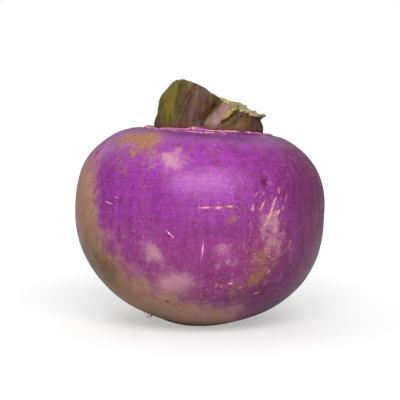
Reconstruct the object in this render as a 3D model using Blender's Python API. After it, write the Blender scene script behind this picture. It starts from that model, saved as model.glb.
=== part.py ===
"""A purple-top turnip, trimmed for the kitchen, in metres with +Z up.

The swollen root is one grown piece. It stands on the small flat scar where its taproot was
cut away, and its crown carries the bases of the leaf stalks, all topped by one slanting
stroke of a knife. The origin is the middle of the flat scar.
"""

import math
from collections import namedtuple

import bmesh
import bpy
from mathutils import Matrix, Vector

# The swollen root: its size at the widest ring, and how far it goes above and below it.
ROOT_WIDTH = 0.0903
ROOT_DEPTH = 0.0880
SHOULDER_RISE = 0.0330
BELLY_DROP = 0.0394
SHOULDER_SQUARENESS = 2.72  # 2 is an ellipse, and more is squarer
BELLY_SQUARENESS = 2.27
LEAN = math.radians(3.2)  # the crown leans towards +X

# The underside tapers a little towards the taproot, which is cut off flat where it is as
# wide as the foot.
TAPER_DROP = 0.0022
TAPER_SPREAD = 18  # degrees round the root's axis
FOOT_DIAMETER = 0.0170

# Gentle swells and hollows of the skin: where each is centred, as an azimuth and a height
# over the horizon, how far it spreads, all in degrees, and its rise as a share of the
# root's radius there.
SWELLS = (
    (185, -38, 28, -0.035),
    (320, 20, 40, 0.012),
    (75, -10, 42, 0.016),
    (130, 25, 36, -0.018),
    (235, 5, 38, 0.008),
    (20, -38, 34, 0.012),
)

# The crown: a flat disc on which the leaf stalks stand in whorls round the heart bud.
CROWN_DIAMETER = 0.0450
CROWN_SHIFT = 0.0018  # the whorls' middle, towards +X from the root's own axis
STALK_GAP = 0.0003  # between a stalk and the crown
HEART_DIAMETER = 0.0050
HEART_HEIGHT = 0.0076

# The knife stroke: its height over the middle of the crown, and its slopes.
CUT_HEIGHT = 0.0122
CUT_SLOPE_X = -0.28
CUT_SLOPE_Y = 0.04

# What a stalk does on its way up: by FULL_HEIGHT it has lost this share of its span and this
# share of its distance from the middle, slowly at first and then faster.
FULL_HEIGHT = 0.0175
NARROWING = 0.28
LEAN_IN = 0.16
BEND_POWER = 1.8
EDGE_THINNING = 1.35  # 1 is an elliptical section, and more has thinner edges

ROOT_SEGMENTS = 64
ROOT_RINGS = 36
STALK_SEGMENTS = 32
STALK_RINGS = 6

# azimuth: degrees counterclockwise from +X. span: the degrees of the crown that the base
# wraps round. inner and outer: its two faces, and tuck: how far its counterclockwise edge
# goes inside its neighbour, all as shares of the crown's radius. sway: the degrees by which
# its top turns round the crown. shorter: how far below the knife stroke it was torn off.
Stalk = namedtuple("Stalk", "azimuth span inner outer tuck sway shorter colour")
STALKS = {
    "leaf_stalk_left": Stalk(222, 92, 0.50, 0.92, 0.09, 20, -0.0018, (0.13, 0.10, 0.02)),
    "leaf_stalk_front": Stalk(308, 94, 0.60, 0.96, 0.00, 16, 0.0006, (0.30, 0.18, 0.14)),
    "leaf_stalk_right": Stalk(14, 50, 0.47, 0.80, 0.00, 0, 0.0000, (0.20, 0.11, 0.06)),
    "leaf_stalk_back": Stalk(76, 84, 0.58, 0.95, 0.00, -8, 0.0004, (0.16, 0.12, 0.03)),
    "leaf_stalk_back_left": Stalk(148, 66, 0.47, 0.82, 0.00, 0, 0.0034, (0.18, 0.11, 0.05)),
    "young_stalk_front": Stalk(268, 84, 0.20, 0.42, 0.00, 0, 0.0026, (0.22, 0.24, 0.05)),
    "young_stalk_right": Stalk(24, 84, 0.20, 0.42, 0.00, 0, 0.0004, (0.26, 0.26, 0.07)),
    "young_stalk_left": Stalk(148, 84, 0.20, 0.42, 0.00, 0, 0.0040, (0.22, 0.24, 0.05)),
}
SKIN_COLOUR = (0.34, 0.06, 0.36)
HEART_COLOUR = (0.24, 0.30, 0.06)


def clear_scene():
    for obj in list(bpy.data.objects):
        bpy.data.objects.remove(obj, do_unlink=True)


def finish(name, colour, roughness):
    """A plain surface finish that isn't metal."""
    material = bpy.data.materials.new(name)
    material.use_nodes = True
    shader = material.node_tree.nodes["Principled BSDF"]
    shader.inputs["Base Color"].default_value = (*colour, 1)
    shader.inputs["Roughness"].default_value = roughness
    shader.inputs["Metallic"].default_value = 0
    return material


def add_object(name, bm, material, collection, parent):
    """A smooth-shaded object from a bmesh in its parent's frame, with its cut edges sharp."""
    mesh = bpy.data.meshes.new(name)
    bm.to_mesh(mesh)
    bm.free()
    mesh.materials.append(material)
    mesh.shade_smooth()
    mesh.set_sharp_from_angle(angle=math.radians(40))
    obj = bpy.data.objects.new(name, mesh)
    collection.objects.link(obj)
    obj.parent = parent
    return obj


def towards(azimuth, height):
    """The unit direction at an azimuth and a height over the horizon, in degrees."""
    a, h = math.radians(azimuth), math.radians(height)
    return Vector((math.cos(h) * math.cos(a), math.cos(h) * math.sin(a), math.sin(h)))


def drop_to_width(share, squareness):
    """How far down from the top of a superellipse, as a share of its half height, it is this
    share of its full width."""
    return 1 - (1 - share**squareness) ** (1 / squareness)


def skin_point(direction):
    """The skin's point in a direction from the middle of the widest ring: a superellipse with
    its own height and squareness above and below the ring, times the gentle swells, plus the
    taper towards the taproot."""
    above = direction.z >= 0
    height = SHOULDER_RISE if above else BELLY_DROP
    squareness = SHOULDER_SQUARENESS if above else BELLY_SQUARENESS
    across = math.hypot(direction.x / (ROOT_WIDTH / 2), direction.y / (ROOT_DEPTH / 2))
    along = abs(direction.z) / height
    reach = (across**squareness + along**squareness) ** (-1 / squareness)
    for azimuth, rise, spread, share in SWELLS:
        off = direction.angle(towards(azimuth, rise)) / math.radians(spread)
        reach *= 1 + share * math.exp(-(off**2))
    off_axis = direction.angle(Vector((0, 0, -1))) / math.radians(TAPER_SPREAD)
    reach += TAPER_DROP * math.exp(-(off_axis**2))
    return direction * reach


def cut_flat(bm, point, normal):
    """Cuts away what lies beyond a plane, closes the cut, and returns its flat face."""
    everything = bm.verts[:] + bm.edges[:] + bm.faces[:]
    cut = bmesh.ops.bisect_plane(
        bm, geom=everything, dist=1e-5, plane_co=point, plane_no=normal, clear_outer=True
    )
    rim = [part for part in cut["geom_cut"] if isinstance(part, bmesh.types.BMEdge)]
    return bmesh.ops.holes_fill(bm, edges=rim, sides=0)["faces"][0]


def crown_height():
    """The crown's flat, above the widest ring: where the shoulders narrow to its diameter."""
    narrowed = drop_to_width(CROWN_DIAMETER / ROOT_WIDTH, SHOULDER_SQUARENESS)
    return SHOULDER_RISE * (1 - narrowed)


def foot_depth():
    """The cut of the taproot, below the widest ring: where it narrows to the foot's diameter."""
    depth = BELLY_DROP
    for _ in range(12):  # closes in on the depth where the skin is that far from the axis
        depth = -skin_point(Vector((FOOT_DIAMETER / 2, 0, -depth)).normalized()).z
    return depth


def swollen_root(collection, stance):
    """The root, with its flat crown and its foot. It moves the stance so that the middle of
    the foot is at the origin, and the foot lies in the floor's plane."""
    bm = bmesh.new()
    bmesh.ops.create_uvsphere(bm, u_segments=ROOT_SEGMENTS, v_segments=ROOT_RINGS, radius=1)
    for vertex in bm.verts:
        vertex.co = skin_point(vertex.co.normalized())
    cut_flat(bm, Vector((0, 0, crown_height())), Vector((0, 0, 1)))

    down = stance.rotation_euler.to_matrix().inverted() @ Vector((0, 0, -1))
    foot = cut_flat(bm, Vector((0, 0, -foot_depth())), down)
    middle = foot.calc_center_median_weighted()
    stance.location = -(stance.rotation_euler.to_matrix() @ middle)
    add_object("swollen_root", bm, finish("purple_skin", SKIN_COLOUR, 0.42), collection, stance)


def stalk_section(stalk, angle, z):
    """A point of a stalk's outline, with X outwards from the middle of the crown: a lens bent
    round the crown, which narrows upwards, leans in and sways."""
    bent = (z / FULL_HEIGHT) ** BEND_POWER
    inner, outer = stalk.inner * CROWN_DIAMETER / 2, stalk.outer * CROWN_DIAMETER / 2
    along = math.sin(angle)
    across = math.copysign(abs(math.cos(angle)) ** EDGE_THINNING, math.cos(angle))
    distance = (inner + outer) / 2 + across * (outer - inner) / 2
    distance -= along * stalk.tuck * CROWN_DIAMETER / 2
    distance *= 1 - LEAN_IN * bent
    turn = along * stalk.span / 2 * (1 - NARROWING * bent) + stalk.sway * bent
    return distance * towards(turn, 0) + Vector((0, 0, z))


def leaf_stalk(name, stalk, collection, stance):
    """The base of one leaf stalk: an upright cylinder with its rings reshaped, from the crown
    up to the knife stroke."""
    bm = bmesh.new()
    bmesh.ops.create_cone(
        bm, cap_ends=True, segments=STALK_SEGMENTS, radius1=1, radius2=1, depth=1
    )
    uprights = [e for e in bm.edges if abs(e.verts[0].co.z - e.verts[1].co.z) > 0.5]
    bmesh.ops.subdivide_edges(bm, edges=uprights, cuts=STALK_RINGS - 1)
    turned = Matrix.Rotation(math.radians(stalk.azimuth), 3, "Z")
    for vertex in bm.verts:
        angle = math.atan2(vertex.co.y, vertex.co.x)
        top = CUT_HEIGHT
        for _ in range(12):  # closes in on the height where this side meets the stroke
            side = turned @ stalk_section(stalk, angle, top)
            top = CUT_HEIGHT - stalk.shorter + CUT_SLOPE_X * side.x + CUT_SLOPE_Y * side.y
        vertex.co = stalk_section(stalk, angle, (vertex.co.z + 0.5) * top)
    obj = add_object(name, bm, finish(name + "_skin", stalk.colour, 0.6), collection, stance)
    obj.location = (CROWN_SHIFT, 0, crown_height() + STALK_GAP)
    obj.rotation_euler = (0, 0, math.radians(stalk.azimuth))


def heart_bud(collection, stance):
    """The folded bud in the middle: the upper half of a sphere, drawn up to a blunt point."""
    bm = bmesh.new()
    bmesh.ops.create_uvsphere(bm, u_segments=20, v_segments=16, radius=1)
    cut_flat(bm, Vector((0, 0, 0)), Vector((0, 0, -1)))
    for vertex in bm.verts:
        slimmed = HEART_DIAMETER / 2 * (1 - 0.25 * vertex.co.z)
        vertex.co = Vector((vertex.co.x * slimmed, vertex.co.y * slimmed, vertex.co.z * HEART_HEIGHT))
    obj = add_object("heart_bud", bm, finish("heart_skin", HEART_COLOUR, 0.6), collection, stance)
    obj.location = (CROWN_SHIFT, 0, crown_height() + STALK_GAP)


def build():
    clear_scene()
    turnip = bpy.data.collections.new("turnip")
    bpy.context.scene.collection.children.link(turnip)
    stance = bpy.data.objects.new("stance", None)
    turnip.objects.link(stance)
    stance.rotation_euler = (0, LEAN, 0)

    swollen_root(turnip, stance)
    for name, stalk in STALKS.items():
        leaf_stalk(name, stalk, turnip, stance)
    heart_bud(turnip, stance)


build()
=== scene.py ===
import math

import bpy
import numpy as np
from mathutils import Matrix, Vector


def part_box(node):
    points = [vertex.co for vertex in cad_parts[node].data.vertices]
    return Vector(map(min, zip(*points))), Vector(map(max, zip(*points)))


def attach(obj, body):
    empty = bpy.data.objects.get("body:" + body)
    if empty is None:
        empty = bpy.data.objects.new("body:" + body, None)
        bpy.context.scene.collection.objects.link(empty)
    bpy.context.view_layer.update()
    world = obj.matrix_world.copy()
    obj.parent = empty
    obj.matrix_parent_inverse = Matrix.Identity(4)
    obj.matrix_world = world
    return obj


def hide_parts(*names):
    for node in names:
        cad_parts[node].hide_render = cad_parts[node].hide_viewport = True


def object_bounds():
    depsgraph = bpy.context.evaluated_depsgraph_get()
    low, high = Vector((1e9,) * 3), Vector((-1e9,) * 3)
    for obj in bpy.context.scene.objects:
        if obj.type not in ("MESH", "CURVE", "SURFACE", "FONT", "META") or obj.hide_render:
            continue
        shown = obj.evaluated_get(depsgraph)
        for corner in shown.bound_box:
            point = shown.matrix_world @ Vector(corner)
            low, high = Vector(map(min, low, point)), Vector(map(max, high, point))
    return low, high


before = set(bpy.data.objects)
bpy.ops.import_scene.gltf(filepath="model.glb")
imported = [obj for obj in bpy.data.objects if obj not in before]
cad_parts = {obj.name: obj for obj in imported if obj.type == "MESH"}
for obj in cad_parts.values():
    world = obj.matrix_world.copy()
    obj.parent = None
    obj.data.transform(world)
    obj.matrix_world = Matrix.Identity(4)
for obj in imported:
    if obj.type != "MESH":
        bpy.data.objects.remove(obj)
cad_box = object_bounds()


# ---- The swollen root ---------------------------------------------------------------------------
# The turnip itself: a root swollen into a bun, broader than it is tall, purple where it stood out of
# the soil and cream where it didn't. It leans a little on the cut end of its taproot, and its crown
# is a low disc where the leaves grew, ringed by a corky rim.

ROOT_WIDTH, ROOT_DEPTH = 0.0903, 0.0880
SHOULDER_RISE, BELLY_DROP = 0.0330, 0.0394
SHOULDER_SQUARENESS, BELLY_SQUARENESS = 2.72, 2.27
LEAN = math.radians(3.2)
SWELLS = (  # azimuth, height and spread in degrees, share of the distance
    (185, -38, 28, -0.035),
    (320, 20, 40, 0.012),
    (75, -10, 42, 0.016),
    (130, 25, 36, -0.018),
    (235, 5, 38, 0.008),
    (20, -38, 34, 0.012),
)
TAPER_DROP, TAPER_SPREAD = 0.0022, 18
CROWN_LEVEL, CROWN_SHIFT, CROWN_RADIUS = 0.03108, 0.0018, 0.0225
FOOT_RADIUS = 0.0085
MM = 0.001
SHOULDER_BLEND, FOOT_BLEND = 4.5 * MM, 0.6 * MM
SHOULDER_DIPS = ((208, 1.5 * MM), (345, 1.0 * MM))  # azimuth, and how much lower the shoulder is there
DIP_HEIGHT, DIP_SPREAD = 40, 18
RIM_RADIUS, TONGUE_RADIUS, GROOVE_RADIUS = 22.7 * MM, 21.9 * MM, 24.4 * MM
ROLL_RADIUS, DARK_RADIUS = 27.2 * MM, 28.2 * MM
SCAR_EDGE, SCAR_SPACING = 20.6 * MM, 2.1 * MM
PIT_AZIMUTH, PIT_HEIGHT, PIT_SPREAD = 299.7, 18.4, 1.8


def towards(azimuth, height):
    """Unit vectors at an azimuth, counterclockwise from the right, and a height, both in degrees."""
    a, h = np.broadcast_arrays(np.radians(azimuth), np.radians(height))
    return np.stack((np.cos(h) * np.cos(a), np.cos(h) * np.sin(a), np.sin(h)), -1)


def angle_from(ways, way):
    """Angle in degrees between each of the unit vectors and one other."""
    return np.degrees(np.arccos(np.clip(ways @ way, -1, 1)))


def reach(way):
    """Distance from the middle of the widest ring to the skin along unit vectors: a squarish ellipsoid,
    taller below the ring than above it, times one Gaussian swell or hollow for each of SWELLS, plus the
    short taper of the taproot round the downward axis."""
    above = way[..., 2] >= 0
    tall = np.where(above, SHOULDER_RISE, BELLY_DROP)
    square = np.where(above, SHOULDER_SQUARENESS, BELLY_SQUARENESS)
    across = np.hypot(way[..., 0] / (ROOT_WIDTH / 2), way[..., 1] / (ROOT_DEPTH / 2))
    out = (across**square + (np.abs(way[..., 2]) / tall) ** square) ** (-1 / square)
    for azimuth, height, spread, share in SWELLS:
        out = out * (1 + share * np.exp(-((angle_from(way, towards(azimuth, height)) / spread) ** 2)))
    return out + TAPER_DROP * np.exp(-((angle_from(way, np.array((0, 0, -1.0))) / TAPER_SPREAD) ** 2))


def soft_min(a, b, blend):
    """The smaller of two distances, with the change from one to the other rounded over the length blend."""
    h = np.clip(0.5 + 0.5 * (b - a) / blend, 0, 1)
    return b + (a - b) * h - blend * h * (1 - h)


def ripple(place, size, seed):
    """Smooth unevenness, mostly between -1 and 1: fourteen sine waves about size long, each in its own
    direction and phase, added up."""
    random = np.random.default_rng(seed)
    ways = random.normal(size=(14, 3))
    ways /= np.linalg.norm(ways, axis=1)[:, None]
    waves = ways * (2 * np.pi / (size * random.uniform(0.7, 1.4, 14)))[:, None]
    return np.sin(place @ waves.T + random.uniform(0, 2 * np.pi, 14)).sum(-1) * 0.19


def ease(low, high, value):
    """0 below low, 1 above high, and a smooth rise between; falls instead where low is above high."""
    t = np.clip((value - low) / (high - low), 0, 1)
    return t * t * (3 - 2 * t)


def hump(value, middle, width):
    """A Gaussian of height 1 about middle."""
    return np.exp(-(((value - middle) / width) ** 2))


def with_poles(values):
    """A grid's rows one after another, with its first and last rows each drawn into one point at the end."""
    ends = values[0].mean(0)[None], values[-1].mean(0)[None]
    return np.concatenate((values[1:-1].reshape(-1, *values.shape[2:]), *ends))


def closed_surface(name, *grids, **shades):
    """A mesh of one closed shell for each grid of points, rows from the top down and columns counterclockwise
    seen from above: four-sided faces between neighbours, the last column joined to the first, and one point
    closing each end, where the first and last rows come together. Each of shades becomes a value at every
    point of a single grid."""
    faces, count = [], 0
    for grid in grids:
        rows, columns = grid.shape[0] - 2, grid.shape[1]
        index = count + np.arange(rows * columns).reshape(rows, columns)
        right = np.roll(index, -1, 1)
        count += rows * columns + 2
        faces += np.stack((index[:-1], index[1:], right[1:], right[:-1]), -1).reshape(-1, 4).tolist()
        faces += np.stack((np.full(columns, count - 2), index[0], right[0]), -1).tolist()
        faces += np.stack((np.full(columns, count - 1), right[-1], index[-1]), -1).tolist()
    mesh = bpy.data.meshes.new(name)
    mesh.from_pydata(np.concatenate([with_poles(grid) for grid in grids]).tolist(), [], faces)
    mesh.polygons.foreach_set("use_smooth", np.ones(len(mesh.polygons), bool))
    for shade, values in shades.items():
        values = np.asarray(values)
        if values.shape[-1:] == (3,):
            layer = mesh.attributes.new(shade, "FLOAT_VECTOR", "POINT")
            layer.data.foreach_set("vector", with_poles(values).astype(np.float32).ravel())
        else:
            layer = mesh.attributes.new(shade, "FLOAT", "POINT")
            values = np.broadcast_to(values, grid.shape[:2])
            layer.data.foreach_set("value", with_poles(values).astype(np.float32))
    mesh.update()
    piece = bpy.data.objects.new(name, mesh)
    bpy.context.scene.collection.objects.link(piece)
    return piece


# The growth frame stands at the middle of the widest ring and leans with the root. Its place comes
# from the CAD solid.
lean_turn = np.array(Matrix.Rotation(LEAN, 3, "Y"))
every_azimuth, every_height = np.meshgrid(np.arange(0, 360, 1.0), np.linspace(90, -90, 361))
bare_ways = towards(every_azimuth, every_height)
cut_by_crown = CROWN_LEVEL / np.maximum(bare_ways[..., 2], 1e-3)
bare_skin = (bare_ways * np.minimum(reach(bare_ways), cut_by_crown)[..., None]) @ lean_turn.T
root_low, root_high = (np.array(corner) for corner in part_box("swollen_root"))
ring_middle = (root_low + root_high) / 2 - (bare_skin.min((0, 1)) + bare_skin.max((0, 1))) / 2
ring_middle[2] = root_high[2] - bare_skin[..., 2].max()


def upright(place):
    """Points of the growth frame as they stand on the floor."""
    return place @ lean_turn.T + ring_middle


# Rows run from the crown to the foot, closest together over the rim and the shoulder.
ROOT_COLUMNS, ROOT_ROWS = 400, 236
row_share = np.linspace(0, 1, ROOT_ROWS)
root_height = 90 - np.interp(row_share, (0, 0.06, 0.30, 0.93, 1), (0, 28, 52, 165, 180))
root_azimuth = np.arange(ROOT_COLUMNS) * 360 / ROOT_COLUMNS
azimuth, height = np.meshgrid(root_azimuth, root_height)
way = towards(azimuth, height)
floor_share = np.maximum(-(way @ lean_turn.T)[..., 2], 1e-3)
span = soft_min(reach(way), CROWN_LEVEL / np.maximum(way[..., 2], 1e-3), SHOULDER_BLEND)
span = soft_min(span, ring_middle[2] / floor_share, FOOT_BLEND)
skin = way * span[..., None]

from_crown = np.hypot(skin[..., 0] - CROWN_SHIFT, skin[..., 1])
from_crown = np.where(way[..., 2] > 0, from_crown, 1)
from_axis = np.where(way[..., 2] < 0, np.hypot(skin[..., 0], skin[..., 1]), 1)
left_side = ease(300, 210, azimuth) * ease(120, 200, azimuth)

# Round the crown: the corky rim with a finer line outside it in front, a groove, and a low roll. The
# tongue is a lobe of skin between the two front stalks, and the scar rings are old leaf scars.
rim_radius = RIM_RADIUS + 0.6 * MM * ripple(skin, 14 * MM, 3) + 0.3 * MM * ripple(skin, 3 * MM, 4)
rim = hump(from_crown, rim_radius, (0.85 + 0.5 * hump(azimuth, 243, 22)) * MM)
rim *= 0.8 + 0.45 * ripple(skin, 5 * MM, 5)
outer_radius = rim_radius + (2.3 + 2.5 * hump(azimuth, 264, 24)) * MM
outer_line = hump(from_crown, outer_radius, 0.65 * MM)
outer_line = outer_line * ease(205, 228, azimuth) * ease(296, 276, azimuth)
outer_line = outer_line * (0.8 + 0.5 * ripple(skin, 4 * MM, 12))
tongue = hump(from_crown, TONGUE_RADIUS, 1.3 * MM) * hump(azimuth, 266, 7)
groove_radius = GROOVE_RADIUS + 0.7 * MM * hump(azimuth, 240, 25) + 0.4 * MM * ripple(skin, 18 * MM, 6)
groove = hump(from_crown, groove_radius, 1.0 * MM) * (0.6 + 0.4 * left_side)
roll = hump(from_crown, ROLL_RADIUS, 2.0 * MM)
scar_rings = ease(22 * MM, 20 * MM, from_crown) * np.sin(from_crown / SCAR_SPACING * 2 * np.pi)
foot_edge = FOOT_RADIUS + 0.7 * MM * ripple(skin, 9 * MM, 7)
foot = ease(foot_edge + 0.5 * MM, foot_edge - 0.6 * MM, from_axis)
foot_hollow = foot * (0.55 * MM * ease(0, FOOT_RADIUS, FOOT_RADIUS - from_axis) + 0.12 * MM)
foot_hollow += foot * 0.14 * MM * ripple(skin, 1.6 * MM, 8)
pit = hump(angle_from(way, towards(PIT_AZIMUTH, PIT_HEIGHT)), 0, PIT_SPREAD)

relief = 0.22 * MM * ripple(skin, 34 * MM, 1) + 0.07 * MM * ripple(skin, 11 * MM, 2)
relief += 0.012 * MM * ripple(skin * (1, 1, 6), 9 * MM, 9)
relief *= ease(0, 5 * MM, from_axis - FOOT_RADIUS)
for azimuth_at, lowered in SHOULDER_DIPS:
    relief -= lowered * hump(angle_from(way, towards(azimuth_at, DIP_HEIGHT)), 0, DIP_SPREAD)
relief += (0.55 * rim + 0.3 * outer_line + 1.3 * tongue + 0.10 * roll + 0.16 * scar_rings) * MM
relief -= (0.50 * groove + 0.9 * pit) * MM + foot_hollow
skin += way * relief[..., None]

# Marks of harvest and handling: azimuth and height in degrees, length and breadth in mm, and tilt.
PINK_MARKS = (
    (272.6, 6.8, 6.2, 1.0, 3), (282.4, 7.7, 5.0, 1.05, 6), (278.0, 7.0, 2.6, 1.1, 0),
    (272.2, -11.5, 9.0, 0.8, 87), (257.6, -5.0, 3.4, 0.8, -42), (259.0, -6.2, 1.6, 0.8, -60),
    (227.0, 5.4, 4.6, 0.6, -8), (231.5, 8.0, 3.0, 0.5, -4), (236.0, -8.0, 2.0, 0.6, -60),
    (294.5, 13.0, 3.4, 0.6, 58), (297.5, 8.5, 5.0, 0.8, 64), (303.5, 10.5, 4.2, 0.8, 58),
    (301.0, 4.0, 5.4, 1.3, 60), (305.5, 5.5, 3.4, 1.0, 55), (304.5, -1.5, 3.0, 0.9, 60),
    (310.0, 12.0, 3.2, 0.5, 75), (299.0, 0.5, 2.4, 0.8, 30), (303.0, -32.5, 3.0, 0.9, 25),
    (320.0, -33.5, 4.0, 0.6, 42), (287.0, -26.5, 2.2, 1.0, 0), (292.5, -29.0, 1.6, 1.0, 30),
    (98.0, 12.0, 9.0, 1.0, 8), (84.0, -6.0, 7.0, 0.9, 80), (47.0, 22.0, 5.0, 0.8, -30),
    (20.0, -12.0, 6.0, 0.9, 65), (147.0, 4.0, 6.0, 0.9, 20), (120.0, -14.0, 4.5, 0.9, -55),
)
DARK_MARKS = (
    (PIT_AZIMUTH, PIT_HEIGHT, 5.2, 4.8, 0), (333.0, -7.0, 1.6, 1.4, 0), (304.5, -23.0, 1.3, 1.2, 0),
    (359.0, 18.0, 1.8, 1.6, 0), (254.0, -40.5, 2.4, 2.0, 0), (313.0, -35.0, 1.2, 1.0, 0),
    (110.0, 24.0, 2.2, 1.8, 0), (62.0, -20.0, 1.8, 1.6, 0),
)


def mark_places(marks):
    """For every point of the skin, its place on the nearest mark: (1, 0) is the end of the mark's length
    and (0, 1) the end of its breadth. The third number is 0 on the mark and grows off it."""
    nearest = np.full(azimuth.shape, 6.0)
    places = np.full((*azimuth.shape, 3), 6.0)
    for mark_azimuth, mark_height, long, broad, tilt in marks:
        outward = towards(mark_azimuth, mark_height)
        east = np.array((-outward[1], outward[0], 0)) / math.hypot(outward[0], outward[1])
        north = np.cross(outward, east)
        c, s = math.cos(math.radians(tilt)), math.sin(math.radians(tilt))
        off = skin - outward * reach(outward[None])[0]
        u = off @ (c * east + s * north) / (long / 2 * MM)
        v = off @ (c * north - s * east) / (broad / 2 * MM)
        away = np.sqrt(u**2 + v**2 + (off @ outward / (8 * MM)) ** 2)
        closer = away < nearest
        nearest[closer] = away[closer]
        places[closer] = np.stack((u, v, np.maximum(away - 1.8, 0)), -1)[closer]
    return places


pink_places, dark_places = mark_places(PINK_MARKS), mark_places(DARK_MARKS)
skin = upright(skin)
skin[..., 2] = np.maximum(skin[..., 2], root_low[2])


def patch(azimuth_at, height_at, wide, tall, tilt=0):
    """A Gaussian blotch on the skin about an azimuth and a height, wide and tall in degrees, with its long
    side turned by tilt."""
    u = ((azimuth - azimuth_at + 180) % 360 - 180) * np.cos(np.radians(height_at))
    v = height - height_at
    c, s = math.cos(math.radians(tilt)), math.sin(math.radians(tilt))
    return np.exp(-(((u * c + v * s) / wide) ** 2) - ((v * c - u * s) / tall) ** 2)


def patches(*blotches):
    """Blotches added up, each a strength and the rest of what patch takes."""
    return sum(strength * patch(*where) for strength, *where in blotches)


# Where the purple ends: its lowest height at azimuths round the root. The cream climbs the left flank.
purple_edge = np.interp(
    azimuth,
    (0, 45, 90, 135, 165, 184, 200, 210, 215, 219, 224, 232, 252, 277, 296, 312, 335),
    (-66, -54, -37, -16, 8, 28, 28, 22, 15, 2, -12, -21, -29, -35, -39, -57, -66),
    period=360,
)

# Blotches: russet scurf, purple that faded to pink, and skin rubbed by handling; plum, a darker tone that is
# also painted shade over the right and lower flank; and olive cream, partly painted shade low on the left.
scurf = patches(
    (1.0, 224, 40, 15, 7, 14), (0.75, 238, 36, 9, 6, -10), (0.4, 205, 42, 10, 5, 0),
    (0.3, 236, 22, 14, 12, 0), (0.46, 299, -17, 7, 12, 15), (0.46, 291, -27, 12, 6, 12),
    (0.40, 283, 3, 5, 5, 0), (0.32, 308, -12, 10, 12, 10), (0.35, 262, -33, 12, 5, 0),
    (0.7, 96, 36, 17, 6, 8), (0.5, 62, -8, 7, 11, 20), (0.55, 150, 18, 9, 12, -15),
    (0.4, 30, 12, 6, 9, 0),
)
fade = patches(
    (0.85, 256, 27, 8, 6, 20), (0.95, 250, -14, 7, 5, -25), (1.3, 260, -28, 9, 6, 20),
    (0.45, 240, -24, 6, 5, 0), (0.4, 279, -9, 7, 5, 0), (0.78, 301, 3, 7, 10, 0),
    (0.60, 307, -10, 8, 10, 0), (0.40, 212, 22, 6, 14, 0), (0.50, 286, -14, 10, 8, 0),
    (0.4, 275, 40, 3, 3, 0), (0.35, 240, 25, 12, 8, 0), (0.5, 120, 22, 12, 9, 20),
    (0.45, 60, 20, 10, 8, 0), (0.4, 20, -25, 9, 12, 0), (0.35, 263, 43, 5, 3, 0),
)
# Plum, partly a darker tone of the skin and partly painted shade: heaviest over the right flank and low on
# the right.
deep = patches(
    (1.0, 340, -14, 30, 36, 0), (1.3, 326, -42, 25, 15, 0), (0.5, 327, -6, 5, 8, 0),
    (0.7, 345, 25, 34, 22, 0), (0.4, 275, -3, 24, 3.5, 4), (0.4, 60, 5, 40, 30, 0),
)
worn = patches(
    (1.5, 304, -2, 14, 18, 0), (0.7, 228, 8, 12, 16, 0), (0.7, 280, -24, 22, 10, 0),
    (0.8, 70, 0, 25, 18, 0), (0.7, 140, 20, 25, 20, 0),
)
# Olive, partly a tint of the cream skin and partly painted shade: dark olive low on the left flank and under
# the belly.
olive = patches(
    (1.2, 213, -26, 17, 13, 0), (0.45, 208, -4, 9, 12, 0), (0.5, 190, -35, 30, 18, 0),
    (0.4, 150, -35, 20, 14, 0),
)
rosy = np.clip(ease(8, -18, height) * 0.95 + patch(302, -6, 14, 18) * 0.6, 0, 1)
# A dark band of painted shade round the crown just outside the roll, strongest in front; it is added to the
# groove's painted shade.
dark_radius = DARK_RADIUS + 2.4 * MM * hump(azimuth, 280, 48) + 0.7 * MM * ripple(skin, 15 * MM, 16)
painted_band_shade = hump(from_crown, dark_radius, 2.1 * MM) * (0.9 + 0.9 * hump(azimuth, 285, 48))

turnip_root = closed_surface(
    "turnip_root", skin, purple=height - purple_edge, rosy=rosy, scurf=scurf, fade=fade, deep=deep,
    worn=worn, olive=olive, cork=np.clip(rim * (1 - tongue) + 0.9 * outer_line, 0, 1),
    groove=np.clip(groove + 0.55 * painted_band_shade, 0, 1),
    crown=ease(22.0 * MM, SCAR_EDGE, from_crown) * (1 - tongue), foot=foot,
    pink_mark=pink_places, dark_mark=dark_places,
)


def paint(red, green, blue):
    """A colour given as a screen shows it, 0 to 255, in the linear values that a shader takes."""
    share = np.array((red, green, blue)) / 255
    return (*np.where(share <= 0.04045, share / 12.92, ((share + 0.055) / 1.055) ** 2.4), 1.0)


def put(tree, kind, how=None, **inputs):
    """Adds a node of that kind, sets its options in how, and gives each input a value or a link."""
    made = tree.nodes.new("ShaderNode" + kind)
    for option, choice in (how or {}).items():
        setattr(made, option, choice)
    for name, value in inputs.items():
        give(tree, made.inputs[name.replace("_", " ")], value)
    return made


def give(tree, socket, value):
    """Links a socket to another, or sets its own value."""
    if isinstance(value, bpy.types.NodeSocket):
        tree.links.new(value, socket)
    else:
        socket.default_value = value


def maths(tree, operation, *values):
    """One Math node over one to three values."""
    made = put(tree, "Math", {"operation": operation})
    for socket, value in zip(made.inputs, values):
        give(tree, socket, value)
    return made.outputs[0]


def between(tree, value, low, high, to_low=0.0, to_high=1.0):
    """value carried smoothly from the range low to high into to_low to to_high, and held at the ends."""
    made = put(tree, "MapRange", {"interpolation_type": "SMOOTHSTEP"})
    for socket, given in zip(made.inputs, (value, low, high, to_low, to_high)):
        give(tree, socket, given)
    return made.outputs[0]


def mixed(tree, share, under, over):
    """Two colours mixed: under where share is 0, over where it is 1."""
    made = put(tree, "Mix", {"data_type": "RGBA"})
    for at, given in ((0, share), (6, under), (7, over)):
        give(tree, made.inputs[at], given)
    return made.outputs[2]


def times(tree, value, factor):
    """Two values multiplied."""
    return maths(tree, "MULTIPLY", value, factor)


def two_tone(tree, value, low, high, first, second):
    """A colour that runs from the paint first, where value is low, to the paint second, where it is high."""
    return mixed(tree, between(tree, value, low, high), paint(*first), paint(*second))


def shade(tree, name):
    """A value kept at the mesh's points."""
    return put(tree, "Attribute", {"attribute_name": name}).outputs["Fac"]


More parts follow.
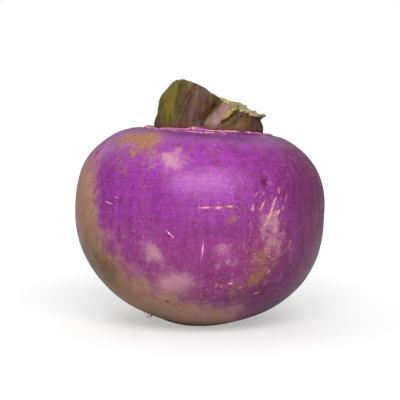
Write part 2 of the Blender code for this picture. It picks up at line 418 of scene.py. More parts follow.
def noise(tree, vector, scale, detail=4.0, roughness=0.6):
    """Cloudy noise about 0.5, scale patches to the metre."""
    return put(tree, "TexNoise", Vector=vector, Scale=scale, Detail=detail, Roughness=roughness).outputs[0]


def add_up(tree, *terms):
    """Each term a value and what it is multiplied by; all of them added."""
    total = 0.0
    for value, factor in terms:
        total = maths(tree, "MULTIPLY_ADD", value, factor, total)
    return total


# Streaks: noise drawn out along one direction, for the skin's fine lines and the fibres of stalks and bud.
streaks = bpy.data.node_groups.new("growth_streaks", "ShaderNodeTree")
streaks.interface.new_socket("Vector", in_out="INPUT", socket_type="NodeSocketVector")
for socket_name, usual in (("Round", 500.0), ("Upward", 50.0)):
    socket = streaks.interface.new_socket(socket_name, in_out="INPUT", socket_type="NodeSocketFloat")
    socket.default_value = usual
for socket_name in ("Streak", "Fleck"):
    streaks.interface.new_socket(socket_name, in_out="OUTPUT", socket_type="NodeSocketFloat")
group_in, group_out = streaks.nodes.new("NodeGroupInput"), streaks.nodes.new("NodeGroupOutput")
stretch = put(streaks, "CombineXYZ", X=group_in.outputs["Round"], Y=group_in.outputs["Round"],
              Z=group_in.outputs["Upward"])
drawn_out = put(streaks, "VectorMath", {"operation": "MULTIPLY"})
give(streaks, drawn_out.inputs[0], group_in.outputs["Vector"])
give(streaks, drawn_out.inputs[1], stretch.outputs[0])
streak_noise = noise(streaks, drawn_out.outputs[0], 1.0, 4.0, 0.62)
fleck_cells = put(streaks, "TexVoronoi", {"feature": "F1"}, Vector=drawn_out.outputs[0], Scale=0.8,
                  Randomness=1.0)
fleck_size = put(streaks, "SeparateColor", Color=fleck_cells.outputs["Color"]).outputs[0]
fleck_edge = times(streaks, between(streaks, fleck_size, 0.55, 1.0), 0.42)
give(streaks, group_out.inputs["Streak"], streak_noise)
give(streaks, group_out.inputs["Fleck"],
     between(streaks, maths(streaks, "SUBTRACT", fleck_edge, fleck_cells.outputs["Distance"]), 0.0, 0.12))


def streaked(tree, vector, round_, upward):
    """The streak and the fleck of growth_streaks at that many to the metre round the root and up it."""
    made = put(tree, "Group", {"node_tree": streaks}, Vector=vector, Round=round_, Upward=upward)
    return made.outputs["Streak"], made.outputs["Fleck"]


def finish(name):
    """A new material: its tree, its Principled BSDF, and the growth frame's coordinates."""
    material = bpy.data.materials.new(name)
    material.use_nodes = True
    tree = material.node_tree
    bsdf = tree.nodes["Principled BSDF"]
    object_place = put(tree, "TexCoord").outputs["Object"]
    growth = put(tree, "Mapping", {"vector_type": "TEXTURE"}, Vector=object_place,
                 Location=ring_middle.tolist(), Rotation=(0, LEAN, 0)).outputs[0]
    return material, tree, bsdf, growth


root_skin, tree, bsdf, growth = finish("root_skin")
broad = noise(tree, growth, 62.0, 6.0, 0.6)
mottle = noise(tree, growth, 300.0, 6.0, 0.66)
grit = noise(tree, growth, 1500.0, 3.0, 0.6)
round_streak, _ = streaked(tree, growth, 55.0, 950.0)
up_streak, up_fleck = streaked(tree, growth, 480.0, 70.0)
_, dash_fleck = streaked(tree, growth, 720.0, 330.0)
_, dot_fleck = streaked(tree, growth, 1250.0, 1250.0)

# Degrees above the line where the purple ends, with the noise's mean of 54 taken off again.
edge = add_up(tree, (shade(tree, "purple"), 1.0), (broad, 52.0), (mottle, 34.0), (grit, 10.0),
              (up_streak, 12.0))
edge = maths(tree, "SUBTRACT", edge, 54.0)
blush = between(tree, edge, -19.0, 6.0)
purple = between(tree, edge, -7.0, 13.0)

# Cream skin, partly its own colour and partly painted shade: these colours are darker than the cream of the
# foot.
cream_and_shade = two_tone(tree, broad, 0.35, 0.65, (176, 130, 112), (160, 124, 84))
cream_flush = times(tree, between(tree, mottle, 0.45, 0.72), 0.5)
cream_and_shade = mixed(tree, cream_flush, cream_and_shade, paint(146, 92, 90))
pink = two_tone(tree, mottle, 0.3, 0.7, (166, 104, 124), (140, 78, 112))
banding = add_up(tree, (round_streak, 0.5), (broad, 0.5))
violet = two_tone(tree, banding, 0.35, 0.65, (120, 34, 124), (138, 48, 142))
rosy_share = times(tree, shade(tree, "rosy"), between(tree, broad, 0.25, 0.5))
violet = mixed(tree, rosy_share, violet, paint(130, 48, 96))
violet = mixed(tree, between(tree, mottle, 0.40, 0.66, 0.0, 0.75), violet, paint(102, 26, 88))
# Plum: a darker tone of the skin that also serves as painted shade on the right and lower flank.
plum_and_shade_colour = two_tone(tree, mottle, 0.35, 0.65, (84, 18, 50), (106, 36, 82))
depth = add_up(tree, (shade(tree, "deep"), 1.0), (mottle, 0.8), (broad, 0.6))
violet = mixed(tree, between(tree, depth, 0.6, 1.6), violet, plum_and_shade_colour)
fine_grain = between(tree, add_up(tree, (grit, 0.6), (up_streak, 0.4)), 0.40, 0.62)
violet = mixed(tree, times(tree, fine_grain, 0.26), violet, paint(166, 84, 158))
colour = mixed(tree, blush, cream_and_shade, pink)
# Dark olive, partly painted shade, over the lower left flank.
olive_share = times(tree, shade(tree, "olive"), between(tree, mottle, 0.3, 0.6, 0.55, 0.95))
colour = mixed(tree, olive_share, colour, paint(108, 78, 20))
colour = mixed(tree, purple, colour, violet)

fading = add_up(tree, (shade(tree, "fade"), 1.0), (mottle, 2.1), (up_streak, 0.9), (grit, 0.5), (broad, 0.7))
fading = times(tree, between(tree, fading, 2.35, 3.35), 0.8)
faded = two_tone(tree, broad, 0.4, 0.6, (200, 140, 160), (180, 132, 146))
colour = mixed(tree, fading, colour, faded)
scurfing = add_up(tree, (shade(tree, "scurf"), 1.0), (mottle, 1.8), (grit, 0.5), (broad, 0.7))
scurfing = times(tree, between(tree, scurfing, 1.72, 2.55), 0.92)
russet = two_tone(tree, grit, 0.35, 0.65, (130, 84, 48), (160, 114, 62))
colour = mixed(tree, scurfing, colour, russet)

wearing = add_up(tree, (shade(tree, "worn"), 1.0), (broad, 0.9))
flecks = times(tree, dash_fleck, between(tree, wearing, 0.75, 1.5, 0.0, 0.75))
long_flecks = times(tree, up_fleck, between(tree, wearing, 0.9, 1.5, 0.0, 0.6))
flecks = maths(tree, "MAXIMUM", flecks, long_flecks)
colour = mixed(tree, times(tree, flecks, between(tree, mottle, 0.38, 0.6)), colour, paint(222, 160, 160))
dots = times(tree, dot_fleck, between(tree, broad, 0.45, 0.66, 0.0, 0.42))
colour = mixed(tree, dots, colour, paint(196, 122, 160))

# Painted shade: dark purple along the groove round the crown and the band outside it.
painted_groove_shade = times(tree, shade(tree, "groove"), between(tree, mottle, 0.3, 0.6, 0.55, 0.95))
colour = mixed(tree, painted_groove_shade, colour, paint(84, 10, 82))
corky = between(tree, add_up(tree, (shade(tree, "cork"), 1.0), (grit, 0.7), (mottle, 0.5)), 0.85, 1.45)
cork_colour = two_tone(tree, grit, 0.4, 0.6, (166, 90, 108), (224, 160, 152))
colour = mixed(tree, corky, colour, cork_colour)
crown_colour = two_tone(tree, mottle, 0.4, 0.62, (96, 50, 48), (140, 110, 70))
colour = mixed(tree, shade(tree, "crown"), colour, crown_colour)
foot_colour = two_tone(tree, grit, 0.38, 0.62, (160, 124, 84), (224, 204, 166))
colour = mixed(tree, shade(tree, "foot"), colour, foot_colour)


def marked(layer, ragged):
    """The mark whose place is in that layer of the mesh: full inside its ellipse, with an edge so ragged."""
    place = put(tree, "Attribute", {"attribute_name": layer}).outputs["Vector"]
    out = put(tree, "VectorMath", {"operation": "LENGTH"}, Vector=place).outputs["Value"]
    edge_noise = add_up(tree, (mottle, 2.2 * ragged), (grit, ragged), (out, 1.0))
    return between(tree, edge_noise, 1.0 + 1.6 * ragged, 0.15 + 1.6 * ragged)


pink_marks, dark_marks = marked("pink_mark", 1.0), marked("dark_mark", 0.25)
mark_colour = two_tone(tree, broad, 0.42, 0.58, (238, 168, 190), (216, 150, 120))
colour = mixed(tree, times(tree, pink_marks, 0.85), colour, mark_colour)
colour = mixed(tree, times(tree, dark_marks, 0.9), colour, paint(92, 20, 44))
give(tree, bsdf.inputs["Base Color"], colour)

rough = add_up(tree, (scurfing, 0.25), (corky, 0.3), (round_streak, 0.28), (mottle, 0.12), (pink_marks, 0.15))
give(tree, bsdf.inputs["Roughness"], maths(tree, "ADD", rough, 0.16))
bump_height = add_up(tree, (mottle, 0.30), (grit, 0.12), (round_streak, 0.22), (scurfing, 0.25), (corky, 0.3),
                     (pink_marks, -0.5), (dark_marks, -0.8), (flecks, 0.15))
bump = put(tree, "Bump", Height=bump_height, Strength=0.55, Distance=0.0005)
give(tree, bsdf.inputs["Normal"], bump.outputs[0])
bsdf.inputs["IOR"].default_value = 1.5
bsdf.inputs["Specular Tint"].default_value = (0.85, 0.5, 0.9, 1)

turnip_root.data.materials.append(root_skin)
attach(turnip_root, "root")
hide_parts("swollen_root")


# ---- The root hairs -----------------------------------------------------------------------------
# A tuft of fine side roots left under the belly, each a dry thread a few millimetres long that was
# snapped off when the root was washed.

HAIR_LENGTH, HAIR_THICKNESS = 3.4 * MM, 0.26 * MM
HAIR_SIDES, HAIR_RINGS = 6, 12
HAIRS = (  # azimuth and height where it grows, share of the length, and which way it sweeps
    (206, -64, 1.0, 20), (201, -63, 0.8, -40), (212, -65, 0.9, 60), (196, -65, 0.7, -70),
    (217, -63, 0.75, 10), (204, -66, 0.85, 45), (70, -60, 0.9, 30), (76, -62, 0.7, -50), (64, -61, 0.8, 80),
)


def hair(azimuth_at, height_at, share, sweep):
    """A tapered round tube along a curve that leaves the skin outwards and sweeps aside, thinning to a
    point as the square root of what is left of its length."""
    outward = towards(azimuth_at, height_at)
    east = np.array((-outward[1], outward[0], 0)) / math.hypot(outward[0], outward[1])
    north = np.cross(outward, east)
    aside = math.cos(math.radians(sweep)) * east + math.sin(math.radians(sweep)) * north
    t = np.linspace(0, 1, HAIR_RINGS)[:, None, None]
    turn = np.linspace(0, 2 * np.pi, HAIR_SIDES, endpoint=False)[None, :, None]
    start = outward * (reach(outward[None])[0] - 0.5 * MM)
    path = start + HAIR_LENGTH * share * (t * outward * (1 - 0.35 * t) + 0.75 * t**2 * aside)
    path = path + 0.18 * MM * np.sin(t * 9 + sweep) * north
    thick = HAIR_THICKNESS / 2 * np.sqrt(np.clip(1 - t, 0, 1)) * (t > 0)
    return upright(path + thick * (np.cos(turn) * east + np.sin(turn) * north))[::-1]


root_hairs = closed_surface("root_hairs", *(hair(*each) for each in HAIRS))

hair_skin, tree, bsdf, growth = finish("hair_skin")
streak, fleck = streaked(tree, growth, 900.0, 700.0)
hair_colour = two_tone(tree, streak, 0.35, 0.65, (140, 92, 84), (182, 140, 120))
give(tree, bsdf.inputs["Base Color"], mixed(tree, fleck, hair_colour, paint(120, 70, 60)))
give(tree, bsdf.inputs["Roughness"], between(tree, streak, 0.3, 0.7, 0.6, 0.8))
root_hairs.data.materials.append(hair_skin)
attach(root_hairs, "root")


# ---- The outer leaf stalks ----------------------------------------------------------------------
# The leaves were cut off with one slanting stroke, which left the thick bases of their stalks: curved
# wedges that wrap round the crown, ribbed on the outside, with a pale, fibrous, ragged cut on top.

CUT_HEIGHT, CUT_SLOPE_X, CUT_SLOPE_Y = 12.2 * MM, -0.28, 0.04
FULL_HEIGHT, BEND_POWER = 17.5 * MM, 1.8
NARROWING, LEAN_IN, EDGE_THINNING = 0.28, 0.16, 1.35
STALK_GAP, STALK_SUNK = 0.3 * MM, 2.0 * MM
CAP_RINGS, SIDE_RINGS, STALK_COLUMNS = 26, 64, 240
whorl_middle = np.array((CROWN_SHIFT, 0, CROWN_LEVEL + STALK_GAP))

# Azimuth and span in degrees; inner edge, outer edge and tuck as shares of the crown's radius; sway in
# degrees; and how much shorter than the knife's plane.
STALKS = {
    "leaf_stalk_left": (222, 92, 0.50, 0.92, 0.09, 20, -1.8 * MM),
    "leaf_stalk_front": (308, 94, 0.60, 0.96, 0.0, 16, 1.4 * MM),
    "leaf_stalk_right": (14, 50, 0.47, 0.80, 0.0, 0, 0.9 * MM),
    "leaf_stalk_back": (76, 84, 0.58, 0.95, 0.0, -8, 0.4 * MM),
    "leaf_stalk_back_left": (148, 66, 0.47, 0.82, 0.0, 0, 4.3 * MM),
}


def stalk_place(stalk, along, across, z):
    """Points of a stalk about the middle of the whorl: along runs round the whorl and across outwards,
    both from -1 to 1, and z is the height. As a stalk rises it narrows, leans in and sways aside."""
    azimuth_at, arc, inner, outer, tuck, sway, _ = stalk
    bent = (np.clip(z, 0, None) / FULL_HEIGHT) ** BEND_POWER
    inner, outer = inner * CROWN_RADIUS, outer * CROWN_RADIUS
    distance = (inner + outer) / 2 + across * (outer - inner) / 2 - along * tuck * CROWN_RADIUS
    distance = distance * (1 - LEAN_IN * bent)
    turn = np.radians(azimuth_at + along * arc / 2 * (1 - NARROWING * bent) + sway * bent)
    return np.stack((distance * np.cos(turn), distance * np.sin(turn), z + 0 * turn), -1)


def knife_height(stalk, along, across):
    """Height at which the slanting cut meets the stalk: the cut's plane over the point, closed in on."""
    z = np.full(np.broadcast(along, across).shape, CUT_HEIGHT)
    for _ in range(12):
        x, y = np.moveaxis(stalk_place(stalk, along, across, z)[..., :2], -1, 0)
        z = CUT_HEIGHT - stalk[-1] + CUT_SLOPE_X * x + CUT_SLOPE_Y * y
    return z


def stalk_shell(stalk, seed, ribs=7, rib_depth=0.05, hollow=0.9 * MM, ragged=0.4 * MM):
    """A closed stub. The rows cross the cut from its middle to its rim, turn over the rim, run down the
    ribbed side and close underneath, inside the crown. Returns the points and, for each point, how far
    out it is on the cut, and along, across, height and depth below the rim."""
    angle = np.arange(STALK_COLUMNS) * 2 * np.pi / STALK_COLUMNS
    cap = np.linspace(0, 1, CAP_RINGS)[:, None] ** 0.75
    down = np.linspace(0, 1, SIDE_RINGS)[1:, None] ** 1.15
    out = np.concatenate((cap, np.ones_like(down), [[0.0]]))
    sin_, cos_ = np.sin(angle)[None], np.cos(angle)[None]
    along = out * sin_
    across = out * np.sign(cos_) * np.abs(cos_) ** EDGE_THINNING
    rim_z = knife_height(stalk, along, across)
    on_cut = stalk_place(stalk, along, across, rim_z)
    torn_edge = ragged * (ripple(on_cut, 2.6 * MM, seed) + 0.6 * ripple(on_cut, 1.1 * MM, seed + 1))
    fibre = 0.11 * MM * ripple(on_cut, 1.3 * MM, seed + 2) + 0.18 * MM * ripple(on_cut, 4 * MM, seed + 3)
    rings = 0.06 * MM * np.sin(out * 26 + 2 * ripple(on_cut, 5 * MM, seed + 4))
    lip = hump(out, 0.93, 0.09)
    cut_z = rim_z - hollow * (1 - out**3) + fibre + rings * (1 - lip)
    cut_z += torn_edge * out**2 - 0.35 * MM * out**14
    side = np.concatenate((np.zeros_like(cap), down, [[1.0]]))
    z = cut_z * (1 - side) - STALK_SUNK * side
    below = (cut_z - z) / MM
    ribbing = np.sin(ribs * angle[None] + 1.5 + 0.25 * np.sin(below / 4))
    ribbing = ribbing + 0.5 * np.sin(2.3 * ribs * angle[None] + seed)
    on_side = (side > 0) * ease(0, 1.5, below)
    flare = 0.05 * hump(z / MM, -0.5, 1.5) * on_side
    tuck_in = -0.05 * np.exp(-below / 0.6) * (side > 0) - 0.02 * out**14 * (side == 0)
    swell = 1 + rib_depth * ribbing * on_side * out + flare + tuck_in
    place = stalk_place(stalk, along * (1 + 0.25 * (swell - 1)), across * swell, z)
    wobble = 0.16 * MM * ripple(place, 6 * MM, seed + 5)
    wobble += 0.05 * MM * ripple(place * (2.5, 2.5, 0.6), 2.6 * MM, seed + 6)
    outward = place * (1, 1, 0) - place.mean((0, 1)) * (1, 1, 0)
    outward /= np.maximum(np.linalg.norm(outward, axis=-1), 1e-5)[..., None]
    place = place + outward * (wobble * (side > 0))[..., None]
    return place, out * (side == 0), along, across, z, below


def crown_upright(place):
    """Points about the middle of the whorl as they stand on the floor."""
    return upright(place + whorl_middle)


SMOOTHER = {"leaf_stalk_left": {"rib_depth": 0.03, "ragged": 0.12 * MM}}
CROWN_TOP = 71.6  # in mm, as are all the lengths inside the loop but those that MM makes metres
TEAR_X, TEAR_LEVEL = 7.9, 1.4  # where the front stalk's tear starts
TEAR_RUN, TEAR_RISE = 0.714, 0.700  # which way it goes, to the right and up: a unit vector
stalk_pieces = {}
for seed, (name, stalk) in enumerate(STALKS.items(), 30):
    place, out, along, across, z, below = stalk_shell(stalk, seed * 10, **SMOOTHER.get(name, {}))
    face = ease(0.1, 0.5, across)
    standing = crown_upright(place)
    x, _, tall = np.moveaxis(standing, -1, 0) / MM
    cut = ease(1.1, 0.2, below)
    lilac = torn = split = np.zeros_like(x)
    mauve = 0.35 + 0.4 * ripple(place, 12 * MM, seed)
    inwards, raised = np.zeros_like(x), np.zeros_like(x)
    if name == "leaf_stalk_left":
        # A rolled leaf base: a crease parts its green back from its mauve edge, and its corners are worn
        # round, so that bark rather than cut flesh shows along its top.
        crease = hump(along, 0.30 + 0.006 * (z / MM), 0.05) * face
        inwards = 0.75 * crease - 0.35 * hump(along, 0.05, 0.22) * face
        mauve = ease(0.16, 0.44, along + 0.03 * ripple(place, 3 * MM, 81)) * face + 0.2 * (1 - face)
        level = z / MM
        cut = (below <= 0) * ease(0.98, 0.78, out + 0.06 * ripple(place, 2 * MM, 85))
        raised = -(3.2 * ease(-4.5, -13.0, x) + 1.7 * ease(-11.8, -15.0, x)) * ease(2, 15, level)
        raised -= 3.4 * ease(-2.2, 5.5, x) * ease(3, 12, level)
        edge_in = ease(0.2, -0.9, along) * (0.9 + 0.4 * hump(level, 4.5, 3) - 2.0 * hump(level, 12.5, 4.5))
        standing[..., 0] += (2.8 * ease(0.2, 0.95, along) * ease(2, 11, level) + edge_in) * MM
    if name == "leaf_stalk_front":
        # Torn when the leaf was pulled: a flap on its left, a split that runs down from the cut, and a
        # corner on the right that juts out over a hollow.
        level = tall - CROWN_TOP
        run = (x - TEAR_X) * TEAR_RUN + (level - TEAR_LEVEL) * TEAR_RISE
        off = (level - TEAR_LEVEL) * TEAR_RUN - (x - TEAR_X) * TEAR_RISE
        off = off + 0.35 * ripple(place, 2.4 * MM, 82)
        on_split = ease(-0.6, 0.4, run) * ease(9.5, 7.0, run) * face
        split = hump(off, 0, 0.42 + 0.05 * run) * on_split
        torn = ease(0.1, 0.6, off) * ease(3.4, 1.6, off) * on_split * ease(0.5, 2.5, run)
        torn = np.maximum(torn, ease(7.2, 8.0, level) * ease(6.5, 8, x) * ease(16.5, 14.5, x) * face)
        lilac = ease(0.2, 1.2, off) * ease(12, 8, x) * face
        inwards = 1.5 * split + 0.7 * torn * ease(5, 8, level) - 0.3 * hump(off, -1.6, 1.2) * on_split
        raised = 0.5 * torn * ripple(place, 1.4 * MM, 83) - 0.4 * split
        mauve = 0.75 + 0.3 * ripple(place, 9 * MM, 84)
        corner = ease(16.5, 21.5, x) * hump(level, 5.1, 1.9)
        dent = ease(18, 21, x) * hump(level, 2.6, 1.5)
        flap = ease(0.1, -0.9, along) * ease(0.5, 9, level) * 3.6
        standing[..., 0] += (2.3 * corner - 1.1 * dent + flap) * MM
        standing[..., 2] += -0.5 * MM * corner
    if name == "leaf_stalk_right":
        mauve = 0.9
    if "back" in name or "right" in name:
        # Behind, the pale flesh shows a little way down the inner side too.
        cut = np.maximum(cut, ease(3.6, 1.8, below) * ease(0.1, -0.4, across))
    towards_axis = place * (-1, -1, 0)
    towards_axis /= np.maximum(np.linalg.norm(towards_axis, axis=-1), 1e-6)[..., None]
    standing = standing + towards_axis * (inwards * MM)[..., None]
    standing[..., 2] += raised * MM
    piece = closed_surface(
        name + "_stub", standing, cut=cut, mauve=np.clip(mauve, 0, 1), lilac=np.clip(lilac, 0, 1),
        torn=np.clip(torn, 0, 1), split=np.clip(split, 0, 1), below=below, level=z / MM,
    )
    stalk_pieces[name] = piece

stalk_skin, tree, bsdf, growth = finish("stalk_skin")
mottle = noise(tree, growth, 420.0, 5.0, 0.65)
grit = noise(tree, growth, 1800.0, 3.0, 0.6)
patchy = noise(tree, growth, 150.0, 3.0, 0.5)
streak, _ = streaked(tree, growth, 620.0, 55.0)
broad_streak, _ = streaked(tree, growth, 240.0, 35.0)
_, pore = streaked(tree, growth, 1150.0, 900.0)
green = two_tone(tree, broad_streak, 0.36, 0.62, (66, 56, 11), (104, 94, 30))
green = mixed(tree, between(tree, streak, 0.5, 0.68, 0.0, 0.8), green, paint(80, 52, 8))
mauve_colour = two_tone(tree, streak, 0.34, 0.66, (58, 34, 24), (88, 60, 40))
mauve_colour = mixed(tree, between(tree, patchy, 0.42, 0.66, 0.0, 0.6), mauve_colour, paint(92, 74, 34))
lilac_colour = two_tone(tree, streak, 0.36, 0.64, (112, 86, 82), (140, 112, 102))
mauve_mask = between(tree, add_up(tree, (shade(tree, "mauve"), 1.0), (broad_streak, 0.7)), 0.65, 1.15)
colour = mixed(tree, mauve_mask, green, mauve_colour)
colour = mixed(tree, times(tree, shade(tree, "lilac"), 0.9), colour, lilac_colour)
# Painted shade: reddish brown at the foot of each stalk, where it meets the crown.
painted_stalk_foot_shade = between(tree, add_up(tree, (shade(tree, "level"), 1.0), (mottle, -2.0)), 0.4, -1.2)
colour = mixed(tree, times(tree, painted_stalk_foot_shade, 0.6), colour, paint(92, 44, 44))
flesh = two_tone(tree, mottle, 0.36, 0.64, (158, 150, 108), (206, 200, 164))
flesh = mixed(tree, times(tree, pore, 0.55), flesh, paint(112, 100, 58))
flesh = mixed(tree, between(tree, patchy, 0.45, 0.65, 0.0, 0.7), flesh, paint(156, 146, 84))
cut_mask = between(tree, add_up(tree, (shade(tree, "cut"), 1.0), (grit, 0.5), (mottle, 0.4)), 0.65, 1.05)
colour = mixed(tree, cut_mask, colour, flesh)
bark = between(tree, add_up(tree, (shade(tree, "below"), 1.0), (mottle, -3.4), (grit, -1.0)), -1.1, -2.1)
torn_colour = two_tone(tree, grit, 0.4, 0.6, (118, 104, 46), (170, 158, 88))
torn_mask = between(tree, add_up(tree, (shade(tree, "torn"), 1.0), (mottle, 0.5)), 0.5, 0.95)
colour = mixed(tree, torn_mask, colour, torn_colour)
colour = mixed(tree, times(tree, bark, 0.5), colour, paint(86, 74, 40))
# Painted shade: dark olive down the split in the front stalk.
painted_split_shade = between(tree, add_up(tree, (shade(tree, "split"), 1.0), (grit, 0.3)), 0.55, 0.95)
colour = mixed(tree, painted_split_shade, colour, paint(58, 48, 14))
give(tree, bsdf.inputs["Base Color"], colour)
rough = add_up(tree, (streak, 0.3), (cut_mask, 0.1), (torn_mask, 0.1), (mottle, 0.8))
give(tree, bsdf.inputs["Roughness"], rough)
bump_height = add_up(tree, (streak, 0.8), (mottle, 0.3), (grit, 0.3), (pore, -0.5))
bump = put(tree, "Bump", Height=bump_height, Strength=0.7, Distance=0.0005)
give(tree, bsdf.inputs["Normal"], bump.outputs[0])
bsdf.inputs["IOR"].default_value = 1.36

for name, piece in stalk_pieces.items():
    piece.data.materials.append(stalk_skin)
    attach(piece, "root")
    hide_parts(name)


# ---- The young leaf stalks ----------------------------------------------------------------------
# The stalks of the youngest leaves, inside the ring of old ones. They are thin, pale and soft, and the
# same stroke of the knife took their tops off.

YOUNG_STALKS = {
    "young_stalk_front": (268, 84, 0.20, 0.42, 0.0, 0, 2.6 * MM),
    "young_stalk_right": (24, 84, 0.20, 0.42, 0.0, 0, 0.4 * MM),
    "young_stalk_left": (148, 84, 0.20, 0.42, 0.0, 0, 4.0 * MM),
}

young_skin, tree, bsdf, growth = finish("young_stalk_skin")
mottle = noise(tree, growth, 520.0, 5.0, 0.62)
grit = noise(tree, growth, 2000.0, 3.0, 0.6)
streak, _ = streaked(tree, growth, 800.0, 60.0)
_, pore = streaked(tree, growth, 1300.0, 1100.0)
colour = two_tone(tree, streak, 0.34, 0.66, (132, 130, 58), (182, 176, 104))
colour = mixed(tree, between(tree, shade(tree, "level"), 3.5, 0.0, 0.0, 0.7), colour, paint(176, 130, 128))
flesh = two_tone(tree, mottle, 0.38, 0.62, (178, 172, 108), (220, 214, 160))
flesh = mixed(tree, times(tree, pore, 0.7), flesh, paint(118, 108, 46))
cut_mask = between(tree, add_up(tree, (shade(tree, "cut"), 1.0), (grit, 0.4), (mottle, 0.4)), 0.6, 1.0)
colour = mixed(tree, cut_mask, colour, flesh)
give(tree, bsdf.inputs["Base Color"], colour)
give(tree, bsdf.inputs["Roughness"], add_up(tree, (streak, 0.2), (cut_mask, 0.2), (mottle, 0.6)))
bump_height = add_up(tree, (streak, 0.7), (grit, 0.3), (pore, -0.4))
bump = put(tree, "Bump", Height=bump_height, Strength=0.6, Distance=0.0004)
give(tree, bsdf.inputs["Normal"], bump.outputs[0])

for seed, (name, stalk) in enumerate(YOUNG_STALKS.items(), 50):
    place, _, _, _, z, below = stalk_shell(stalk, seed * 10, 5, 0.07, 0.6 * MM, 0.3 * MM)
    piece = closed_surface(name + "_stub", crown_upright(place), cut=ease(0.9, 0.2, below), level=z / MM)
    piece.data.materials.append(young_skin)
    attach(piece, "root")
    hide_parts(name)


# ---- The heart bud ------------------------------------------------------------------------------
# The growing tip in the middle of the crown: a small pointed bud of tiny leaves folded over each other,
# held shut by the young stalks round it.

HEART_RADIUS, HEART_HEIGHT = 2.5 * MM, 7.6 * MM
BUD_ROWS, BUD_COLUMNS, BUD_FOLDS, BUD_TWIST = 70, 120, 5, 2.2
bud_share = np.linspace(0, 1, BUD_ROWS)[:, None]
bud_turn = (np.arange(BUD_COLUMNS) * 2 * np.pi / BUD_COLUMNS)[None]
bud_rise = (1 - bud_share**1.1) * (HEART_HEIGHT + STALK_SUNK) - STALK_SUNK
fold = BUD_FOLDS * bud_turn + BUD_TWIST * 2 * (1 - bud_share)
leaf_edges = 0.13 * (np.abs(np.sin(fold / 2)) - 0.6) + 0.05 * np.sin(3 * bud_turn - 9 * bud_share)
bud_width = HEART_RADIUS * np.sin(np.pi / 2 * np.clip(bud_share * 1.5, 0, 1)) ** 0.8 * (1 - 0.12 * bud_share)
bud_width = bud_width * (0.93 + leaf_edges * np.sin(np.pi * bud_share) ** 0.5)
bud_width[-1] = 0
bud = np.stack((bud_width * np.cos(bud_turn), bud_width * np.sin(bud_turn), bud_rise + 0 * bud_turn), -1)
heart = closed_surface("heart_bud_folded", crown_upright(bud), level=bud_rise / MM,
                       fold=np.abs(np.sin(fold / 2)))

bud_skin, tree, bsdf, growth = finish("bud_skin")
mottle = noise(tree, growth, 700.0, 4.0, 0.6)
streak, _ = streaked(tree, growth, 1100.0, 120.0)
colour = two_tone(tree, streak, 0.34, 0.66, (110, 128, 46), (172, 184, 92))
colour = mixed(tree, between(tree, shade(tree, "level"), 3.0, 0.5, 0.0, 0.8), colour, paint(200, 176, 140))
# Painted shade: dark green in the creases between the bud's folded leaves.
colour = mixed(tree, between(tree, shade(tree, "fold"), 0.45, 0.0, 0.0, 0.7), colour, paint(66, 72, 22))
give(tree, bsdf.inputs["Base Color"], colour)
give(tree, bsdf.inputs["Roughness"], between(tree, mottle, 0.3, 0.7, 0.42, 0.6))
bump = put(tree, "Bump", Height=add_up(tree, (streak, 0.7), (mottle, 0.3)), Strength=0.5, Distance=0.0003)
give(tree, bsdf.inputs["Normal"], bump.outputs[0])
heart.data.materials.append(bud_skin)
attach(heart, "root")
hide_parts("heart_bud")


# ---- The floor, the light and the camera --------------------------------------------------------
# A plain pale table top in a white room, one broad lamp in front and above, weaker ones over and behind
# it, and a camera a little above the middle of the root.

FLOOR_EDGE, FLOOR_RINGS, FLOOR_SPOKES = 3.0, 48, 96
FLOOR_GREY, FLOOR_NEAR, FLOOR_FAR = 0.52, 0.02, 0.50
GLOW_NEAR, GLOW_FAR = 0.42, 0.97  # what the floor adds to what is seen of it, near the root and far off
floor_out = FLOOR_EDGE * np.linspace(0, 1, FLOOR_RINGS)[:, None] ** 1.3
floor_turn = (np.arange(FLOOR_SPOKES) * 2 * np.pi / FLOOR_SPOKES)[None]
floor_x, floor_y = floor_out * np.cos(floor_turn), floor_out * np.sin(floor_turn)
floor_grid = np.stack((floor_x, floor_y, 0 * floor_x), -1)
floor_mesh = bpy.data.meshes.new("floor")
ring = np.arange(FLOOR_RINGS * FLOOR_SPOKES).reshape(FLOOR_RINGS, FLOOR_SPOKES)
beside = np.roll(ring, -1, 1)
floor_mesh.from_pydata(floor_grid.reshape(-1, 3).tolist(), [],
                       np.stack((ring[:-1], ring[1:], beside[1:], beside[:-1]), -1).reshape(-1, 4).tolist())
floor_mesh.polygons.foreach_set("use_smooth", np.ones(len(floor_mesh.polygons), bool))
floor = bpy.data.objects.new("floor", floor_mesh)
bpy.context.scene.collection.objects.link(floor)
floor_paint = bpy.data.materials.new("pale_floor")
floor_paint.use_nodes = True
floor_bsdf = floor_paint.node_tree.nodes["Principled BSDF"]
floor_bsdf.inputs["Base Color"].default_value = (FLOOR_GREY, FLOOR_GREY, FLOOR_GREY, 1)
floor_bsdf.inputs["Roughness"].default_value = 0.8
floor_bsdf.inputs["Specular IOR Level"].default_value = 0.1
floor_tree = floor_paint.node_tree
floor_place = put(floor_tree, "TexCoord").outputs["Object"]
floor_away = put(floor_tree, "VectorMath", {"operation": "LENGTH"}, Vector=floor_place).outputs["Value"]
floor_bsdf.inputs["Emission Color"].default_value = (1, 1, 1, 1)
floor_seen = floor_tree.nodes.new("ShaderNodeLightPath").outputs["Is Camera Ray"]
floor_glow = between(floor_tree, floor_away, FLOOR_NEAR, FLOOR_FAR, GLOW_NEAR, GLOW_FAR)
give(floor_tree, floor_bsdf.inputs["Emission Strength"], times(floor_tree, floor_seen, floor_glow))
floor_mesh.materials.append(floor_paint)

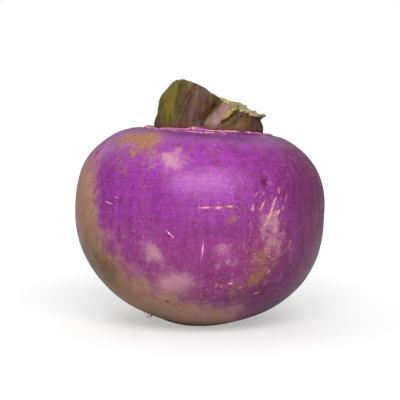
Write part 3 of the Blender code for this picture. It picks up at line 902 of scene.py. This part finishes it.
# The room is white to look at, but dimmer as a light, so that the lamps model the shape.
ROOM_LIGHT = 0.28
world = bpy.data.worlds.new("studio")
world.use_nodes = True
room = world.node_tree
background = room.nodes["Background"]
background.inputs["Color"].default_value = (1, 1, 1, 1)
seen = room.nodes.new("ShaderNodeLightPath").outputs["Is Camera Ray"]
give(room, background.inputs["Strength"], maths(room, "MULTIPLY_ADD", seen, 1.0 - ROOM_LIGHT, ROOM_LIGHT))
bpy.context.scene.world = world

low, high = (np.array(corner) for corner in cad_box)
middle = (low + high) / 2


def lamp(name, azimuth_at, height_at, far, wide, tall, power):
    """A soft rectangular lamp, turned towards the root's middle from an azimuth and a height in degrees and
    far metres off; wide and tall are its sides in metres, and power is in watts."""
    light = bpy.data.lights.new(name, "AREA")
    light.shape, light.size, light.size_y, light.energy = "RECTANGLE", wide, tall, power
    holder = bpy.data.objects.new(name, light)
    place = middle + towards(azimuth_at, height_at) * far
    holder.location = place
    holder.rotation_euler = Vector(place - middle).to_track_quat("Z", "Y").to_euler()
    bpy.context.scene.collection.objects.link(holder)


lamp("lamp_front", 273, 32, 0.85, 0.62, 0.40, 9.0)
lamp("lamp_over", 205, 62, 1.0, 0.8, 0.8, 1.6)
lamp("lamp_back", 100, 52, 1.0, 1.2, 1.0, 3.0)

CAMERA_HEIGHT, FRAME_SHARE = 4, 0.62  # degrees up, and how much of the frame's width the root fills
CAMERA_LENS, SENSOR_WIDTH = 100, 36
camera_data = bpy.data.cameras.new("camera")
camera_data.lens, camera_data.sensor_width = CAMERA_LENS, SENSOR_WIDTH
camera = bpy.data.objects.new("camera", camera_data)
far = (high - low)[0] / FRAME_SHARE * CAMERA_LENS / SENSOR_WIDTH
camera.location = middle + towards(270, CAMERA_HEIGHT) * far
camera.rotation_euler = Vector(camera.location - Vector(middle)).to_track_quat("Z", "Y").to_euler()
camera_data.clip_start, camera_data.clip_end = 0.01, 20
bpy.context.scene.collection.objects.link(camera)
bpy.context.scene.camera = camera
bpy.context.scene.view_settings.view_transform = "Standard"
